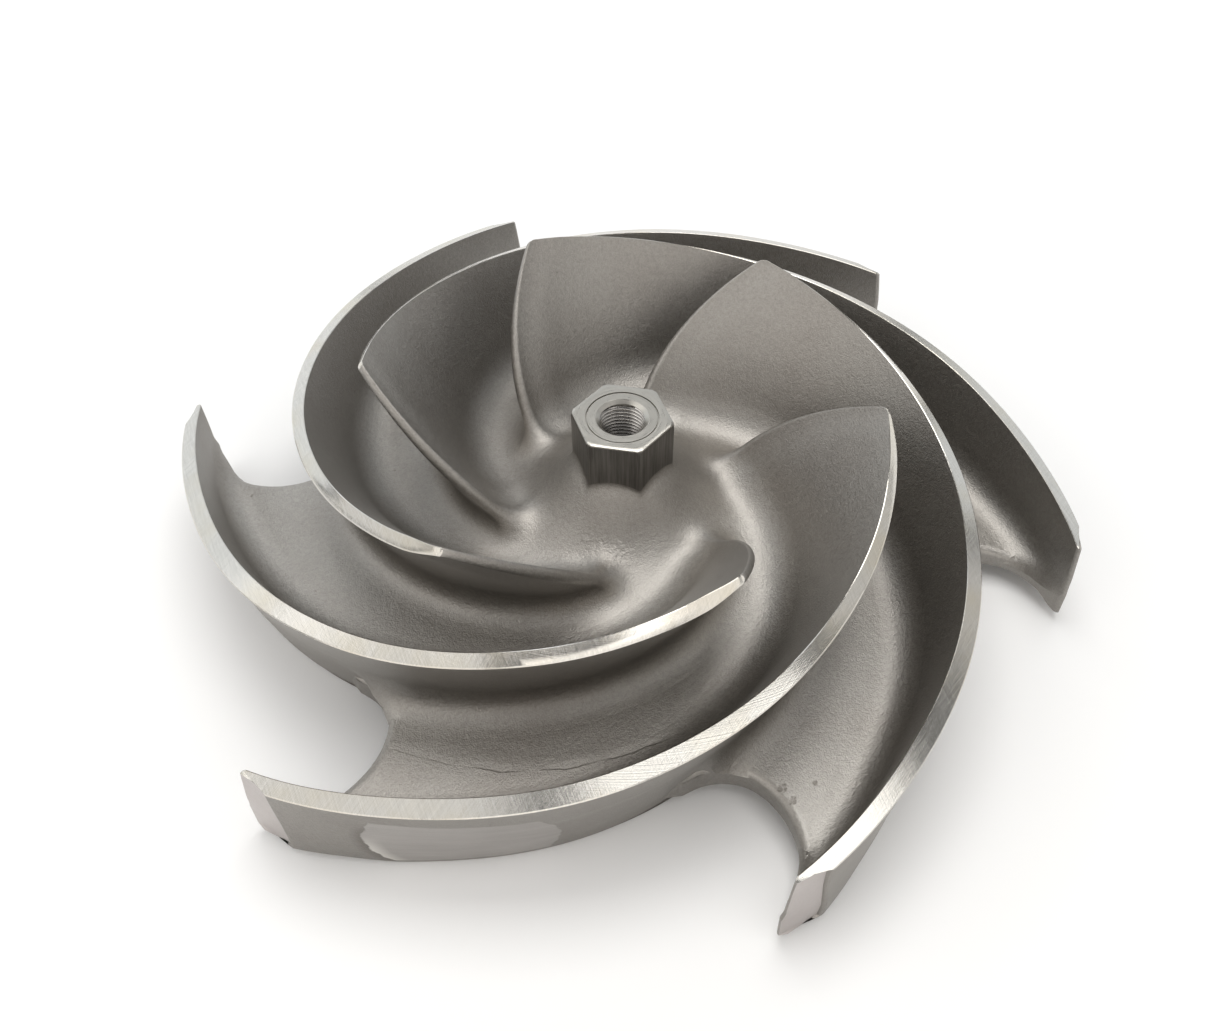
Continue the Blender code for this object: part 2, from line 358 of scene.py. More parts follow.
def placeAtRim(turn, level):  # how far along the vane this line meets the tip's face
    low, high = vane["rimSearch"]
    target = tipRadius(turn, level)
    for _ in range(22):
        middle = (low + high) / 2
        point = vaneVertex(middle, turn, level)
        if math.hypot(point.x, point.y) < target:
            low = middle
        else:
            high = middle
    return (low + high) / 2


def vaneColumns():  # share of the way to the tip and turn, from the convex side round to the concave side
    stations, noseSteps = vane["stations"], vane["noseSteps"]
    shares = vane["endShares"] + [vane["lastShare"] * (1 - i / (stations - 1)) ** vane["stationEase"]
                                  for i in range(stations)]
    columns = [(share, 1.0) for share in shares]
    columns += [(0.0, math.cos(math.pi * i / noseSteps)) for i in range(1, noseSteps)]
    columns += [(share, -1.0) for share in reversed(shares)]
    return columns


def buildVane():
    columns = vaneColumns()
    rimPlaces = {turn: [placeAtRim(turn, level) for level in vaneLevels] for turn in (1, -1)}

    def placeVertex(column, row):
        if column < len(columns):
            share, turn = columns[column]
            place = rimPlaces[1 if turn > 0 else -1][row] * share
            return vaneVertex(place, turn, vaneLevels[row], (1 - share) * vane["length"])
        # the tip face, from the concave side back to the convex side
        step = (column - len(columns) + 1) / vane["capSteps"]
        inner = vaneVertex(rimPlaces[-1][row], -1, vaneLevels[row], 0.0)
        outer = vaneVertex(rimPlaces[1][row], 1, vaneLevels[row], 0.0)
        turned = math.degrees(math.atan2(inner.cross(outer).z, inner.xy.dot(outer.xy)))
        start = math.degrees(math.atan2(inner.y, inner.x))
        point = polar(mix(inner.xy.length, outer.xy.length, step), start + turned * step)
        point.z = mix(inner.z, outer.z, step)
        return point

    def finishOf(column, row):  # 0 cast, 1 turned, 2 filed
        return 2 if column >= len(columns) - 1 else int(row < 2)

    return gridMesh(len(columns) + vane["capSteps"], len(vaneLevels), placeVertex, finishOf)


def makeVanes():
    finishes = [castSteel, turnedSteel, filedSteel]
    first = finishPiece("vane1", buildVane(), finishes, vane["sharpAngle"])
    for index in range(1, casting["vanes"]):
        bm = bmesh.new()
        bm.from_mesh(first.data)
        bmesh.ops.rotate(bm, verts=bm.verts, matrix=Matrix.Rotation(math.radians(-pitch * index), 3, "Z"))
        finishPiece(f"vane{index + 1}", bm, finishes, vane["sharpAngle"])
    print("Six vanes made")


makeVanes()

# Shroud: one sector of the channel floor, copied round, then given its thickness down to the back
shroud = {
    "columns": 84, "outerRows": 46, "outerEase": 1.7, "seamGap": 0.002,
    "innerRings": [29.5, 30.0, 31.0, 32.0], "middleRings": 34,
    "outerRings": [73.0, 74.0, 75.2, 76.4, 77.6, 78.6, 79.4, 80.1, 80.7, 81.2, 81.6, 82.0],
    "wholeInside": 84, "seamRadius": 82.0, "lastRadius": 88.9, "lastSpan": 3.6,
    "fingerEnd": 126.0, "fingerOffset": -30,
    "firstColumn": -2.9, "rimBend": 2.0, "rimBendFrom": (95, 127), "rimBendSpan": 4,
    "recess": (30.0, 32.0, 72.0, 74.0), "recessDepth": 1.5, "relief": (78.6, 81.2),
}
floorWraps = [(rowValue("footRadius", place / 40), rowValue("footWrap", place / 40))
              for place in range(-12, 40 * lastRow + 1)]


def wrapAt(radius):  # wrap of the vane's foot at this radius
    low, high = 0, len(floorWraps) - 1
    while high - low > 1:
        middle = (low + high) // 2
        if floorWraps[middle][0] < radius:
            low = middle
        else:
            high = middle
    (r0, w0), (r1, w1) = floorWraps[low], floorWraps[high]
    return mix(w0, w1, (radius - r0) / (r1 - r0))


def columnAngle(offset, radius):
    # Lines that follow the vanes, and lean near a vane's foot to stay under it
    fromSeam = min(abs(offset - shroud["firstColumn"]), abs(offset - shroud["firstColumn"] + pitch))
    nearSeam = math.exp(-fromSeam / shroud["rimBendSpan"])
    lean = shroud["rimBend"] * smoothStep(*shroud["rimBendFrom"], radius) * nearSeam
    return wrapAt(radius) + offset + lean


def edgeRadius(offset):  # where a line meets the scallop
    for (r0, a0), (r1, a1) in zip(scallopCurve, scallopCurve[1:]):
        before, after = a0 - columnAngle(offset, r0), a1 - columnAngle(offset, r1)
        if before >= 0 >= after and before != after:
            return min(mix(r0, r1, before / (before - after)), shroud["fingerEnd"])
    if offset > shroud["fingerOffset"]:
        return shroud["fingerEnd"]
    fromLast = offset - shroud["firstColumn"] + pitch
    return mix(shroud["seamRadius"], shroud["lastRadius"], min(fromLast / shroud["lastSpan"], 1.0))


def onlyVerts(geometry):
    return [item for item in geometry if isinstance(item, bmesh.types.BMVert)]


def buildShroud():
    innerEdge, innerFull, outerFull, outerEdge = shroud["recess"]
    middle = shroud["middleRings"]
    rings = shroud["innerRings"] + [mix(innerFull, outerFull, i / middle) for i in range(1, middle + 1)]
    rings += shroud["outerRings"]
    outer = shroud["outerRows"]
    offsets = [shroud["firstColumn"] - pitch * i / shroud["columns"] for i in range(shroud["columns"] + 1)]
    edges = [edgeRadius(offset) for offset in offsets]
    edges[-1] = shroud["seamRadius"]

    def placeVertex(column, row):
        if row < len(rings):
            radius = rings[row]
        else:
            step = (row - len(rings) + 1) / outer
            radius = mix(shroud["seamRadius"], edges[column], 1 - (1 - step) ** shroud["outerEase"])
        point = polar(radius, columnAngle(offsets[column], radius))
        point.z = floorHeight(radius)
        if radius > shroud["wholeInside"]:
            point.z -= edgeDrop(point)
        return point

    bm = gridMesh(len(offsets), len(rings) + outer, placeVertex)
    sector = bm.faces[:]
    for index in range(1, casting["vanes"]):
        copy = onlyVerts(bmesh.ops.duplicate(bm, geom=sector)["geom"])
        bmesh.ops.rotate(bm, verts=copy, matrix=Matrix.Rotation(math.radians(-pitch * index), 3, "Z"))
    bmesh.ops.remove_doubles(bm, verts=bm.verts, dist=shroud["seamGap"] * mm)
    for vert in onlyVerts(bmesh.ops.extrude_face_region(bm, geom=bm.faces[:])["geom"]):
        radius = vert.co.xy.length / mm
        fromInner = (radius - innerEdge) / (innerFull - innerEdge)
        fromOuter = (outerEdge - radius) / (outerEdge - outerFull)
        inside = min(fromInner, fromOuter, 1.0)
        relief = smoothStep(*shroud["relief"], radius) * scallop["underside"]
        vert.co.z = (max(inside, 0.0) * shroud["recessDepth"] + relief) * mm
    return bm


def makeShroud():
    finishPiece("castShroud", buildShroud(), [castSteel])
    print("Shroud made")


makeShroud()

# Hub: bell, hexagonal nose, recessed face, threaded hole, pilot bore and back ring, as one closed ring
hub = {
    "columns": 288, "acrossFlats": 24.6, "flatTurn": 79.7, "cornerBlend": 90, "cornerRadius": 13.75,
    "top": 50.5, "bellRadius": 33.0, "bellSteps": 33, "bellEase": 1.25, "footFillet": 1.6, "noseChamfer": 0.4,
    "recessRadius": 9.9, "recessDepth": 0.12, "grooveWidth": 0.3, "grooveDepth": 0.6,
    "holeRadius": 6.85, "holeChamfer": 0.95, "flatRise": 1.1,
    "boreRadius": 15.0, "boreDepth": 16.0, "boreChamfer": 0.8,
    "ring": [(29.9, 0.0), (31.0, 0.9), (32.5, 6.0)],
    # the bell's edge, under the floor
    "hidden": [(33.6, 0.8), (33.3, 0.12)], "sink": 0.05, "sinkFrom": (31.5, 33),
}


def hexRadius(angle):
    total = 0.0
    for side in range(6):
        share = math.cos(math.radians(angle - hub["flatTurn"] - 60 * side))
        total += max(share, 0.0) ** hub["cornerBlend"]
    return hub["acrossFlats"] / 2 / total ** (1 / hub["cornerBlend"])


def hubProfile(angle):  # the outline at one angle, from the bell up over the nose, down the hole and back
    side = hexRadius(angle)
    top, fillet, chamfer, rise = hub["top"], hub["footFillet"], hub["noseChamfer"], hub["flatRise"]
    outline = [(radius, floorHeight(radius) - sunk) for radius, sunk in hub["hidden"]]
    start, steps = side + fillet, hub["bellSteps"]
    for i in range(steps + 1):
        radius = mix(start, hub["bellRadius"], (1 - i / steps) ** hub["bellEase"])
        outline.append((radius, floorHeight(radius) - hub["sink"] * smoothStep(*hub["sinkFrom"], radius)))
    slope = (floorHeight(start) - floorHeight(start + 0.1)) / 0.1
    corner = floorHeight(start) + slope * fillet
    for i in range(1, 9):
        t = i / 8
        height = mix(mix(floorHeight(start), corner, t), mix(corner, corner + rise, t), t)
        outline.append((side + fillet * (1 - t) ** 2, height))
    foot = corner + rise
    outline += [(side, mix(foot, top - chamfer - rise, i / 4)) for i in range(1, 5)]
    side = min(side, hub["cornerRadius"])  # the corners are turned off at the top
    outline += [(side, top - chamfer), (side - chamfer * 0.3, top - chamfer * 0.3), (side - chamfer, top)]
    recess, groove = hub["recessRadius"], top - hub["grooveDepth"]
    floorZ = top - hub["recessDepth"]
    outline += [(mix(side - chamfer, recess, i / 3), top) for i in range(1, 3)]
    outline += [(recess + 0.04, top), (recess, top - 0.04), (recess - 0.06, groove),
                (recess - hub["grooveWidth"], groove), (recess - hub["grooveWidth"] - 0.06, floorZ)]
    hole, rim, cut = hub["holeRadius"], hub["holeRadius"] + 0.3, hub["holeChamfer"]
    outline += [(rim + 0.08, floorZ), (rim, floorZ - 0.06), (rim - cut, floorZ - cut)]
    outline += [(hole, floorZ - cut - 0.05)]
    outline += [(hole, mix(floorZ - cut, hub["boreDepth"] + 0.6, i / 3)) for i in range(1, 4)]
    bore, deep, edge = hub["boreRadius"], hub["boreDepth"], hub["boreChamfer"]
    outline += [(hole + 0.6, deep), (bore - 0.3, deep), (bore, deep - 0.3), (bore, edge), (bore + edge, 0.0)]
    return outline + hub["ring"]


def makeHub():
    columns = hub["columns"]
    outlines = [hubProfile(360 * i / columns) for i in range(columns)]
    rows = len(outlines[0])
    heights = [point[1] for point in outlines[0]]
    noseTop = heights.index(hub["top"])

    def placeVertex(column, row):
        radius, height = outlines[column % columns][row % rows]
        point = polar(radius, 360 * (column % columns) / columns)
        point.z = height
        return point

    def finishOf(column, row):  # 0 cast, 1 turned, 2 the flats
        return 2 if noseTop - 7 <= row < noseTop - 2 else int(noseTop - 2 <= row < rows - 2)

    bm = gridMesh(columns + 1, rows + 1, placeVertex, finishOf)
    finishPiece("hubNose", bm, [castSteel, noseSteel, flatSteel])
    print("Hub and nose made")


makeHub()

# Thread: a sharp ridge spun down the hole
thread = {
    "pitch": 1.27, "crest": 6.1, "crestEase": 0.05, "root": 6.84, "behind": 0.15, "stepsPerTurn": 64,
    "top": 48.75, "bottom": 16.8,
}


def makeThread():
    half, crest, root, ease = thread["pitch"] / 2, thread["crest"], thread["root"], thread["crestEase"]
    ridge = [(root, half * 0.94), (crest + ease, half * 0.24), (crest, half * 0.12), (crest, -half * 0.12),
             (crest + ease, -half * 0.24), (root, -half * 0.94), (root + thread["behind"], 0)]
    bm = bmesh.new()
    corners = [bm.verts.new(Vector((radius, 0, thread["bottom"] + height)) * mm) for radius, height in ridge]
    start = bm.faces.new(corners)
    turns = (thread["top"] - thread["bottom"]) / thread["pitch"]
    steps = round(turns * thread["stepsPerTurn"])
    bmesh.ops.spin(bm, geom=[start] + start.edges[:] + corners, axis=(0, 0, 1), cent=(0, 0, 0),
                   dvec=(0, 0, thread["pitch"] / thread["stepsPerTurn"] * mm),
                   angle=math.tau * turns, steps=steps)
    finishPiece("noseThread", bm, [threadSteel], 25)
    print("Thread cut")


makeThread()

# Finishes: shared node groups first, then one material for each finish
finish = {
    "castLight": (0.400, 0.383, 0.358, 1), "castDark": (0.350, 0.328, 0.303, 1),
    # stain colour of the pits and specks, also used as the painted shade round the ground place's end
    "castStainAndShade": (0.12, 0.105, 0.09, 1),
    "turnedLight": (0.70, 0.68, 0.64, 1), "turnedDark": (0.56, 0.54, 0.50, 1),
    "turnedTint": (0.62, 0.565, 0.45, 1),
    "filedLight": (0.56, 0.525, 0.51, 1), "filedDark": (0.47, 0.435, 0.42, 1),
    "groundLight": (0.47, 0.45, 0.43, 1), "groundDark": (0.35, 0.33, 0.315, 1),
    "noseLight": (0.57, 0.55, 0.505, 1), "noseDark": (0.43, 0.415, 0.38, 1),
    # the hex flats' colours, darkened to paint in the shade they show
    "flatShadedLight": (0.25, 0.24, 0.225, 1), "flatShadedDark": (0.15, 0.142, 0.132, 1),
    "threadPaintedHighlight": (0.66, 0.64, 0.61, 1), "threadPaintedShade": (0.30, 0.285, 0.27, 1),
    # roughness, smoothest to roughest
    "castRough": (0.41, 0.51), "turnedRough": (0.13, 0.21), "filedRough": (0.38, 0.48),
    "noseRough": (0.26, 0.36), "threadRough": (0.16, 0.28), "flatRough": 0.38, "groundRough": 0.36,
    "paintedWallShade": 0.80,  # painted shade: the upright faces' colour as a share of the level faces'
    # noise scales of the skin, and of the marks that tools left
    "grainFine": 2300, "grainCoarse": 900, "grainCloud": 26, "grainSpeck": 520, "grainSwell": 75,
    "turnedLines": 4200, "noseLines": 2600, "fileStretch": 130.0, "flatStretch": (1500, 1500, 60),
    "turnedMarks": ((3600, 38), (2600, -24)),  # scale and angle
    "filedMarks": 2400,
    "pitLumps": 900, "roughLumps": 120,
    # marks on the casting: radius, angle and size in millimetres and degrees
    "pits": [(109.4, 175.2, 0.7), (97.6, -66.9, 1.5), (101.6, -66.2, 1.2), (99.9, -62.0, 0.8)],
    "roughSpots": [(24.4, -113.0, 5.6), (25.6, -90.0, 6.0)],
    # the ground place on one vane: its ends as angles, middle and half height, how much its ends curve,
    # and the wall under it as angle, radius and slope
    "groundEnds": (-120.2, -98.4), "groundMiddle": 14.0, "groundHalf": 12.5, "groundCurve": 1.9,
    "groundWall": (-99, 95.5, 0.886),
    # the flow line on one floor: its start, its slope, and the angles and heights where it fades
    "flowStart": (-127, 96.2), "flowSlope": 0.405, "flowEnds": ((-131, -127), (-80, -88)),
    "flowHeights": (17.5, 16.0),
}


def addNode(tree, kind, **settings):
    node = tree.nodes.new("ShaderNode" + kind)
    for name, value in settings.items():
        setattr(node, name, value)
    return node


def objectPoints(tree):
    return addNode(tree, "TexCoord").outputs["Object"]


def feed(tree, socket, value):  # a number or colour is set, and another node's output is linked
    if isinstance(value, (int, float, tuple)):
        socket.default_value = value
    else:
        tree.links.new(value, socket)


def mathNode(tree, operation, *values):
    node = addNode(tree, "Math", operation=operation)
    for socket, value in zip(node.inputs, values):
        feed(tree, socket, value)
    return node.outputs[0]


def times(tree, product, *others):
    for value in others:
        product = mathNode(tree, "MULTIPLY", product, value)
    return product


def plus(tree, first, second):
    return mathNode(tree, "ADD", first, second)


def minus(tree, first, second):
    return mathNode(tree, "SUBTRACT", first, second)


def noiseNode(tree, vector, scale, detail=3.0, roughness=0.55):
    node = addNode(tree, "TexNoise")
    for name, value in (("Vector", vector), ("Scale", scale), ("Detail", detail), ("Roughness", roughness)):
        feed(tree, node.inputs[name], value)
    return node.outputs["Fac"]


def wobbleNode(tree, noise, amount):  # a noise made a shift to either side
    return times(tree, minus(tree, noise, 0.5), amount)


def rangeNode(tree, value, low, high, newLow=0.0, newHigh=1.0):
    node = addNode(tree, "MapRange")
    for socket, number in zip(node.inputs, (value, low, high, newLow, newHigh)):
        feed(tree, socket, number)
    return node.outputs["Result"]


def newGroup(name, inputs, outputs):  # inputs with their kinds; every output is a single value
    group = bpy.data.node_groups.new(name, "ShaderNodeTree")
    for label, kind in inputs.items():
        group.interface.new_socket(name=label, in_out="INPUT", socket_type="NodeSocket" + kind)
    for label in outputs:
        group.interface.new_socket(name=label, in_out="OUTPUT", socket_type="NodeSocketFloat")
    return group, group.nodes.new("NodeGroupInput"), group.nodes.new("NodeGroupOutput")


def giveOut(group, result, **values):
    for name, value in values.items():
        group.links.new(value, result.inputs[name])
    return group


def joinScaled(tree, **parts):  # a stretched vector for a noise
    join = addNode(tree, "CombineXYZ")
    for axis, (part, scale) in parts.items():
        tree.links.new(times(tree, part, scale), join.inputs[axis])
    return join.outputs[0]


def makeBlastGrain():  # the even grain that blasting leaves, with soft clouds and a few dark specks
    group, source, result = newGroup("blastGrain", {"Vector": "Vector"}, ["Grain", "Cloud", "Speck", "Swell"])
    vector = source.outputs["Vector"]
    fine = noiseNode(group, vector, finish["grainFine"], 2.0, 0.65)
    coarse = noiseNode(group, vector, finish["grainCoarse"], 2.0, 0.55)
    grain = plus(group, times(group, fine, 0.6), times(group, coarse, 0.4))
    cloud = noiseNode(group, vector, finish["grainCloud"], 4.0, 0.6)
    speck = noiseNode(group, vector, finish["grainSpeck"], 1.0, 0.4)
    return giveOut(group, result, Grain=rangeNode(group, grain, 0.36, 0.64),
                   Cloud=rangeNode(group, cloud, 0.3, 0.7), Speck=rangeNode(group, speck, 0.79, 0.85),
                   Swell=noiseNode(group, vector, finish["grainSwell"], 3.0, 0.5))


def polarParts(tree, vector):  # radius, angle in degrees and height, all from the object's own axis
    split = addNode(tree, "SeparateXYZ")
    tree.links.new(vector, split.inputs[0])
    x, y = split.outputs["X"], split.outputs["Y"]
    square = plus(tree, times(tree, x, x), times(tree, y, y))
    angle = times(tree, mathNode(tree, "ARCTAN2", y, x), 180 / math.pi)
    return mathNode(tree, "SQRT", square), angle, split.outputs["Z"]


def makeRaggedSpot():  # a ragged spot round one place, for pits and rough skin
    group, source, result = newGroup(
        "raggedSpot", {"Vector": "Vector", "Place": "Vector", "Size": "Float", "Lumps": "Float"}, ["Mask"])
    vector = source.outputs["Vector"]
    away = addNode(group, "VectorMath", operation="DISTANCE")
    group.links.new(vector, away.inputs[0])
    group.links.new(source.outputs["Place"], away.inputs[1])
    share = mathNode(group, "DIVIDE", away.outputs["Value"], source.outputs["Size"])
    lumps = noiseNode(group, vector, source.outputs["Lumps"], 4.0, 0.5)
    ragged = plus(group, share, wobbleNode(group, lumps, 3.0))
    return giveOut(group, result, Mask=rangeNode(group, ragged, 0.9, 0.35))


def makeGroundPlace():  # the patch ground flat on one vane's outer wall, for balance
    group, source, result = newGroup(
        "groundPlace", {"Vector": "Vector"}, ["Mask", "Strokes", "Streak", "Glint", "Hollow"])
    vector = source.outputs["Vector"]
    radius, angle, height = polarParts(group, vector)
    first, last = finish["groundEnds"]
    middle, half = (first + last) / 2, (last - first) / 2
    level = minus(group, height, finish["groundMiddle"] * mm)
    level = mathNode(group, "DIVIDE", level, finish["groundHalf"] * mm)
    wobble = wobbleNode(group, noiseNode(group, vector, 190, 3.0), 1.6)
    away = mathNode(group, "ABSOLUTE", minus(group, angle, middle))
    inside = minus(group, minus(group, half, away), times(group, level, level, finish["groundCurve"]))
    ends = rangeNode(group, plus(group, inside, wobble), -0.12, 0.12)
    fromMiddle = mathNode(group, "ABSOLUTE", plus(group, level, times(group, wobble, 0.05)))
    upper = rangeNode(group, fromMiddle, 1.02, 0.96)
    wallAngle, wallRadius, slope = finish["groundWall"]
    wall = mathNode(group, "MULTIPLY_ADD", angle, -slope * mm, (wallRadius + wallAngle * slope) * mm)
    outside = rangeNode(group, minus(group, radius, wall), 0.0, 0.5 * mm)
    mask = times(group, ends, upper, outside)
    # its end nearest the tip is dug in, and the dent's light is painted: a painted highlight inside it and
    # painted shade around it
    leftEnd = rangeNode(group, angle, middle, middle - 2)
    highlightShare = times(group, rangeNode(group, inside, 2.0, 0.4), rangeNode(group, level, 0.25, -0.35))
    shadeShare = times(group, rangeNode(group, inside, -1.5, -0.1), minus(group, 1.0, ends))
    shadeShare = times(group, shadeShare, rangeNode(group, level, 0.95, 0.3), outside, leftEnd)
    along = joinScaled(group, X=(angle, 0.55), Y=(height, 1900))
    return giveOut(group, result, Mask=mask, Glint=times(group, highlightShare, mask, leftEnd), Hollow=shadeShare,
                   Strokes=noiseNode(group, along, 1.0, 4.0, 0.65),
                   Streak=noiseNode(group, along, 0.22, 2.0, 0.5))


def makeFlowLines():  # cold laps nearly along one channel's floor
    group, source, result = newGroup("flowLines", {"Vector": "Vector"}, ["Line"])
    vector = source.outputs["Vector"]
    radius, angle, height = polarParts(group, vector)
    startAngle, startRadius = finish["flowStart"]
    slope, (first, last) = finish["flowSlope"], finish["flowEnds"]
    radius = mathNode(group, "DIVIDE", radius, mm)
    wobble = wobbleNode(group, noiseNode(group, vector, 60, 3.0), 3.5)
    fromLine = plus(group, times(group, angle, slope), radius)
    fromLine = plus(group, minus(group, fromLine, startRadius + startAngle * slope), wobble)
    side = times(group, rangeNode(group, fromLine, -2.0, 0.0), rangeNode(group, fromLine, 0.35, 0.0))
    ends = times(group, rangeNode(group, angle, *first), rangeNode(group, angle, *last))
    low = rangeNode(group, height, *[value * mm for value in finish["flowHeights"]])
    broken = rangeNode(group, noiseNode(group, vector, 34, 2.0), 0.44, 0.60)
    return giveOut(group, result, Line=times(group, side, ends, low, broken))


def makeFileMarks():  # straight file marks, lying at one angle
    group, source, result = newGroup(
        "fileMarks", {"Vector": "Vector", "Turn": "Vector", "Across": "Float"}, ["Marks"])
    turned = addNode(group, "VectorRotate", rotation_type="EULER_XYZ")
    group.links.new(source.outputs["Vector"], turned.inputs["Vector"])
    group.links.new(source.outputs["Turn"], turned.inputs["Rotation"])
    split = addNode(group, "SeparateXYZ")
    group.links.new(turned.outputs[0], split.inputs[0])
    x, y, z = split.outputs
    along = joinScaled(group, X=(x, source.outputs["Across"]), Y=(y, finish["fileStretch"]),
                       Z=(z, finish["fileStretch"]))
    return giveOut(group, result, Marks=noiseNode(group, along, 1.0, 3.0, 0.7))


def makeLatheLines():  # rings about the shaft axis, drawn out along the turning direction
    group, source, result = newGroup("latheLines", {"Vector": "Vector", "Lines": "Float"}, ["Fine", "Broad"])
    radius, angle, height = polarParts(group, source.outputs["Vector"])
    lines = source.outputs["Lines"]
    around = joinScaled(group, X=(radius, lines), Y=(angle, 0.03), Z=(height, lines))
    return giveOut(group, result, Fine=noiseNode(group, around, 1.0, 3.0, 0.6),
                   Broad=noiseNode(group, around, 0.16, 2.0, 0.5))


blastGrain = makeBlastGrain()
latheLines = makeLatheLines()
raggedSpot = makeRaggedSpot()
groundPlace = makeGroundPlace()
fileMarks = makeFileMarks()
flowLines = makeFlowLines()


def placeGroup(tree, group, **values):
    node = tree.nodes.new("ShaderNodeGroup")
    node.node_tree = group
    tree.links.new(objectPoints(tree), node.inputs["Vector"])
    for name, value in values.items():
        node.inputs[name].default_value = value
    return node


def mixColours(tree, share, first, second):
    node = addNode(tree, "Mix", data_type="RGBA")
    for name, value in (("Factor", share), ("A", first), ("B", second)):
        feed(tree, node.inputs[name], value)
    return node.outputs["Result"]


def bumpNode(tree, height, distance, strength=1.0, normal=None):
    node = addNode(tree, "Bump")
    node.inputs["Strength"].default_value = strength
    node.inputs["Distance"].default_value = distance
    tree.links.new(height, node.inputs["Height"])
    if normal is not None:
        tree.links.new(normal, node.inputs["Normal"])
    return node.outputs["Normal"]


def spotsAt(tree, places, lumps):  # one mask for several ragged spots on the channel floor
    mask = None
    for radius, angle, size in places:
        spot = polar(radius, angle)
        spot.z = floorHeight(radius)
        node = placeGroup(tree, raggedSpot, Place=spot * mm, Size=size * mm, Lumps=lumps)
        mask = mathNode(tree, "MAXIMUM", mask, node.outputs["Mask"]) if mask else node.outputs["Mask"]
    return mask


def finishMetal(material, colour, roughness, normal=None):  # what every finish ends in
    tree = material.node_tree
    shader = tree.nodes["Principled BSDF"]
    shader.inputs["Metallic"].default_value = 1.0
    feed(tree, shader.inputs["Base Color"], colour)
    feed(tree, shader.inputs["Roughness"], roughness)
    if normal:
        feed(tree, shader.inputs["Normal"], normal)


def castColour(tree, grain, ground, pits):
    clouded = mixColours(tree, grain.outputs["Cloud"], finish["castDark"], finish["castLight"])
    # painted shade: the upright faces are darkened against the level ones by the way they face
    facing = addNode(tree, "SeparateXYZ")
    tree.links.new(addNode(tree, "TexCoord").outputs["Normal"], facing.inputs[0])
    levelness = mathNode(tree, "ABSOLUTE", facing.outputs["Z"])
    shade = rangeNode(tree, levelness, 0.25, 0.8, finish["paintedWallShade"], 1.0)
    shade = times(tree, shade, rangeNode(tree, grain.outputs["Grain"], 0.0, 1.0, 0.86, 1.14))
    tone = addNode(tree, "CombineXYZ")
    for axis in range(3):
        tree.links.new(shade, tone.inputs[axis])
    grainAndWallShade = addNode(tree, "Mix", data_type="RGBA", blend_type="MULTIPLY")
    grainAndWallShade.inputs["Factor"].default_value = 1.0
    tree.links.new(clouded, grainAndWallShade.inputs["A"])
    tree.links.new(tone.outputs[0], grainAndWallShade.inputs["B"])
    stainsAndShade = grainAndWallShade.outputs["Result"]
    # pits and specks stained dark, laid over the painted wall shade
    for mask, share in ((pits, 0.6), (grain.outputs["Speck"], 0.5)):
        stainsAndShade = mixColours(tree, times(tree, mask, share), stainsAndShade, finish["castStainAndShade"])
    strokes = mixColours(tree, ground.outputs["Streak"], finish["groundDark"], finish["groundLight"])
    # the ground place's dug-in end: painted highlight in the turned steel's light tone, painted shade in the
    # stain colour
    strokes = mixColours(tree, ground.outputs["Glint"], strokes, finish["turnedLight"])
    stainsAndShade = mixColours(tree, times(tree, ground.outputs["Hollow"], 0.55), stainsAndShade, finish["castStainAndShade"])
    return mixColours(tree, ground.outputs["Mask"], stainsAndShade, strokes)


def castRelief(tree, grain, ground, pits):
    patch = ground.outputs["Mask"]
    ridges = minus(tree, noiseNode(tree, objectPoints(tree), 430, 3.0, 0.6), 0.5)
    rough = times(tree, spotsAt(tree, finish["roughSpots"], finish["roughLumps"]), ridges)
    laps = times(tree, placeGroup(tree, flowLines).outputs["Line"], -1.0)
    strokes = times(tree, patch, ground.outputs["Strokes"])
    skin = times(tree, grain.outputs["Grain"], minus(tree, 1.0, patch))
    normal = None
    for height, distance, strength in ((grain.outputs["Swell"], 0.0007, 0.35), (rough, 0.0010, 0.5),
                                       (laps, 0.0004, 0.5), (times(tree, pits, -1.0), 0.0002, 0.25),
                                       (times(tree, patch, -1.0), 0.0005, 0.5), (strokes, 0.0002, 0.5),
                                       (skin, 0.00012, 0.5)):
        normal = bumpNode(tree, height, distance, strength, normal)
    return normal


def fillCastSteel():
    tree = castSteel.node_tree
    grain = placeGroup(tree, blastGrain)
    ground = placeGroup(tree, groundPlace)
    pits = spotsAt(tree, finish["pits"], finish["pitLumps"])
    skin = rangeNode(tree, grain.outputs["Grain"], 0.0, 1.0, *finish["castRough"])
    roughness = addNode(tree, "Mix")
    for name, value in (("Factor", ground.outputs["Mask"]), ("A", skin), ("B", finish["groundRough"])):
        feed(tree, roughness.inputs[name], value)
    finishMetal(castSteel, castColour(tree, grain, ground, pits), roughness.outputs["Result"],
                castRelief(tree, grain, ground, pits))


def fillTurnedSteel():
    tree = turnedSteel.node_tree
    crossed = []
    for scale, angle in finish["turnedMarks"]:
        node = placeGroup(tree, fileMarks, Across=scale, Turn=(0, 0, math.radians(angle)))
        crossed.append(times(tree, node.outputs["Marks"], 0.5))
    marks = plus(tree, *crossed)
    banded = mixColours(tree, rangeNode(tree, marks, 0.35, 0.65), finish["turnedDark"], finish["turnedLight"])
    clouds = rangeNode(tree, noiseNode(tree, objectPoints(tree), 55, 3.0, 0.6), 0.45, 0.75, 0.0, 0.6)
    rings = placeGroup(tree, latheLines, Lines=finish["turnedLines"]).outputs["Fine"]
    finishMetal(turnedSteel, mixColours(tree, clouds, banded, finish["turnedTint"]),
                rangeNode(tree, marks, 0.35, 0.65, *finish["turnedRough"]),
                bumpNode(tree, marks, 0.00006, 0.4, bumpNode(tree, rings, 0.00004, 0.3)))


